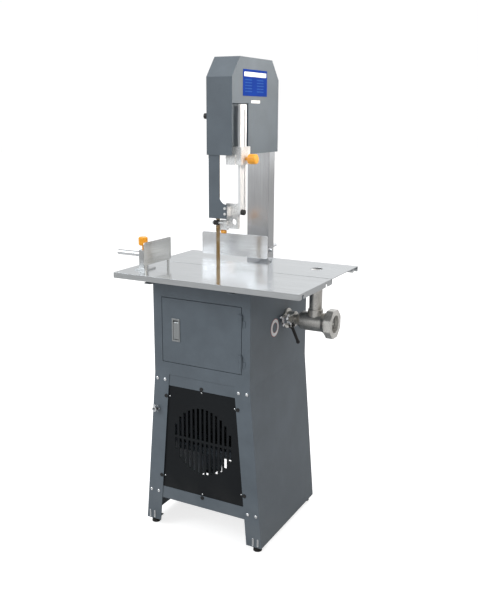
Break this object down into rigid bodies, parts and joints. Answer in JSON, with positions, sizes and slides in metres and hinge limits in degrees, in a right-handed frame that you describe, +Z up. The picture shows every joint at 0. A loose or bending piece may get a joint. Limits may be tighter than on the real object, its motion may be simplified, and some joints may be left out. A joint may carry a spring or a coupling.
{
  "type": "bone saw",
  "caption": "Floor-standing band saw for bone and frozen meat, with a sliding table, fence, pusher and a side mincer.",
  "frame": {"origin": "middle of the whole machine's footprint, on the floor", "axes": "+X to the operator's right, towards the mincer; +Y away from the operator; +Z up"},
  "size_m": [0.695, 0.611, 1.592],
  "materials": {
    "grey_paint": "satin powder coat",
    "black_paint": "satin powder coat",
    "stainless": "brushed",
    "mirror_steel": "polished",
    "chrome": "polished",
    "cast_steel": "tinned casting",
    "machined_steel": "machined",
    "cast_alloy": "cast",
    "black_plastic": "matt",
    "orange_plastic": "gloss",
    "red_plastic": "gloss",
    "green_plastic": "gloss",
    "rubber": "matt",
    "blade_steel": "oiled",
    "motor_paint": "satin"
  },
  "bodies": {
    "frame": {"stand_frame": "grey_paint", "stand_fasteners": "chrome", "fan_panel": "black_paint", "panel_clips": "black_plastic", "rubber_feet": "rubber", "motor": "motor_paint", "cable_gland": "chrome", "cabinet_body": "grey_paint", "hinge_pins": "grey_paint", "scrap_tray": "stainless", "switch_box": "black_plastic", "drive_housing": "cast_steel", "drive_bearings": "machined_steel", "drive_belt": "rubber", "saw_blade": "blade_steel", "table_supports": "grey_paint", "table_rods": "chrome", "fixed_table": "mirror_steel", "lower_guide": "machined_steel", "column": "mirror_steel", "head_housing": "grey_paint", "head_plate": "machined_steel", "guide_clamp": "cast_alloy", "mincer_socket": "cast_steel", "mincer_barrel": "cast_steel", "mincer_plate": "machined_steel"},
    "motor_rotor": {"motor_pulley": "machined_steel"},
    "door": {"cabinet_door": "grey_paint", "latch_plate": "chrome"},
    "door_latch": {"latch_paddle": "chrome"},
    "start_push": {"start_button": "green_plastic"},
    "stop_push": {"stop_button": "red_plastic"},
    "lower_drive": {"lower_wheel": "cast_alloy", "lower_shaft": "machined_steel", "driven_pulley": "cast_alloy"},
    "tension_slide": {"tension_carrier": "machined_steel"},
    "top_wheel": {"upper_wheel": "cast_alloy", "upper_bearings": "machined_steel"},
    "tension_knob": {"tension_screw": "black_plastic"},
    "blade_guide": {"guide_bar": "mirror_steel", "guide_bracket": "cast_alloy", "guide_tip": "orange_plastic", "blade_guard": "grey_paint"},
    "front_roller": {"guide_roller": "black_plastic"},
    "guide_clamp_knob": {"guide_knob": "orange_plastic"},
    "carriage": {"sliding_table": "mirror_steel", "slide_blocks": "black_plastic", "pusher_block": "stainless"},
    "pusher": {"pusher_plate": "stainless", "pusher_rod": "chrome"},
    "pusher_clamp_knob": {"pusher_knob": "orange_plastic"},
    "fence": {"fence_plate": "mirror_steel", "fence_rod": "chrome"},
    "fence_screw": {"fence_lock": "chrome"},
    "side_cover": {"head_cover": "grey_paint"},
    "cover_screw": {"cover_knob": "black_plastic"},
    "feed_screw": {"mincer_auger": "cast_steel"},
    "mincer_ring": {"ring_nut": "cast_steel"},
    "mincer_star": {"mincer_clamp": "chrome"},
    "mincer_handle": {"mincer_lever": "black_plastic"}
  },
  "joints": [
    {"name": "lower_spin", "type": "hinge", "parent": "frame", "child": "lower_drive", "pos_m": [-0.0575, 0.06565, 0.744], "axis": [1, 0, 0], "continuous": true},
    {"name": "motor_spin", "type": "hinge", "parent": "frame", "child": "motor_rotor", "pos_m": [0.0125, 0.06565, 0.331], "axis": [1, 0, 0], "continuous": true},
    {"name": "tension_slide", "type": "slide", "parent": "frame", "child": "tension_slide", "axis": [0, 0, 1], "range_m": [-0.012, 0]},
    {"name": "tension_turn", "type": "hinge", "parent": "frame", "child": "tension_knob", "pos_m": [-0.0235, 0.06565, 1.29], "axis": [0, 0, 1], "range_deg": [-1445, 0]},
    {"name": "top_spin", "type": "hinge", "parent": "tension_slide", "child": "top_wheel", "pos_m": [-0.0575, 0.06565, 1.442], "axis": [1, 0, 0], "continuous": true},
    {"name": "guide_height", "type": "slide", "parent": "frame", "child": "blade_guide", "axis": [0, 0, 1], "range_m": [-0.1, 0.115]},
    {"name": "roller_spin", "type": "hinge", "parent": "blade_guide", "child": "front_roller", "pos_m": [-0.0575, -0.06865, 1.072], "axis": [1, 0, 0], "continuous": true},
    {"name": "guide_knob_turn", "type": "hinge", "parent": "frame", "child": "guide_clamp_knob", "pos_m": [0.0325, -0.0355, 1.278], "axis": [1, 0, 0], "range_deg": [0, 360]},
    {"name": "carriage_slide", "type": "slide", "parent": "frame", "child": "carriage", "axis": [1, 0, 0], "range_m": [-0.15, 0.15]},
    {"name": "pusher_slide", "type": "slide", "parent": "carriage", "child": "pusher", "axis": [1, 0, 0], "range_m": [-0.03, 0.08]},
    {"name": "pusher_knob_turn", "type": "hinge", "parent": "carriage", "child": "pusher_clamp_knob", "pos_m": [-0.2475, -0.2145, 0.994], "axis": [0, 0, 1], "range_deg": [0, 360]},
    {"name": "fence_slide", "type": "slide", "parent": "frame", "child": "fence", "axis": [0, 1, 0], "range_m": [-0.1, 0.07]},
    {"name": "fence_screw_turn", "type": "hinge", "parent": "frame", "child": "fence_screw", "pos_m": [0.0085, 0.1965, 0.947], "axis": [1, 0, 0], "range_deg": [0, 360]},
    {"name": "cover_hinge", "type": "hinge", "parent": "frame", "child": "side_cover", "pos_m": [-0.0805, 0.2455, 1.44], "axis": [0, 0, 1], "range_deg": [-110, 0]},
    {"name": "cover_screw_turn", "type": "hinge", "parent": "side_cover", "child": "cover_screw", "pos_m": [-0.0805, -0.0775, 1.41], "axis": [1, 0, 0], "range_deg": [0, 360]},
    {"name": "door_hinge", "type": "hinge", "parent": "frame", "child": "door", "pos_m": [0.1085, -0.2064, 0.716], "axis": [0, 0, 1], "range_deg": [0, 120]},
    {"name": "latch_pull", "type": "hinge", "parent": "door", "child": "door_latch", "pos_m": [-0.1345, -0.1995, 0.754], "axis": [1, 0, 0], "range_deg": [-35, 0], "stiffness_Nm_per_rad": 0.2},
    {"name": "start_press", "type": "slide", "parent": "frame", "child": "start_push", "axis": [1, 0, 0], "range_m": [0, 0.004], "stiffness_N_per_m": 400},
    {"name": "stop_press", "type": "slide", "parent": "frame", "child": "stop_push", "axis": [1, 0, 0], "range_m": [0, 0.004], "stiffness_N_per_m": 400},
    {"name": "feed_screw_spin", "type": "hinge", "parent": "frame", "child": "feed_screw", "pos_m": [0.2445, 0.06565, 0.744], "axis": [1, 0, 0], "continuous": true},
    {"name": "ring_turn", "type": "hinge", "parent": "frame", "child": "mincer_ring", "pos_m": [0.2925, 0.06565, 0.744], "axis": [1, 0, 0], "range_deg": [0, 720]},
    {"name": "star_turn", "type": "hinge", "parent": "frame", "child": "mincer_star", "pos_m": [0.1655, 0.01365, 0.753], "axis": [0, 1, 0], "range_deg": [0, 360]},
    {"name": "lever_swing", "type": "hinge", "parent": "frame", "child": "mincer_handle", "pos_m": [0.1815, 0.01365, 0.734], "axis": [0, 1, 0], "range_deg": [-35, 35]}
  ],
  "couplings": [
    {"joint": "motor_spin", "follows": "lower_spin", "ratio": 3.3333},
    {"joint": "top_spin", "follows": "lower_spin", "ratio": 1},
    {"joint": "feed_screw_spin", "follows": "lower_spin", "ratio": 1},
    {"joint": "tension_turn", "follows": "tension_slide", "rad_per_m": 2094.4}
  ]
}
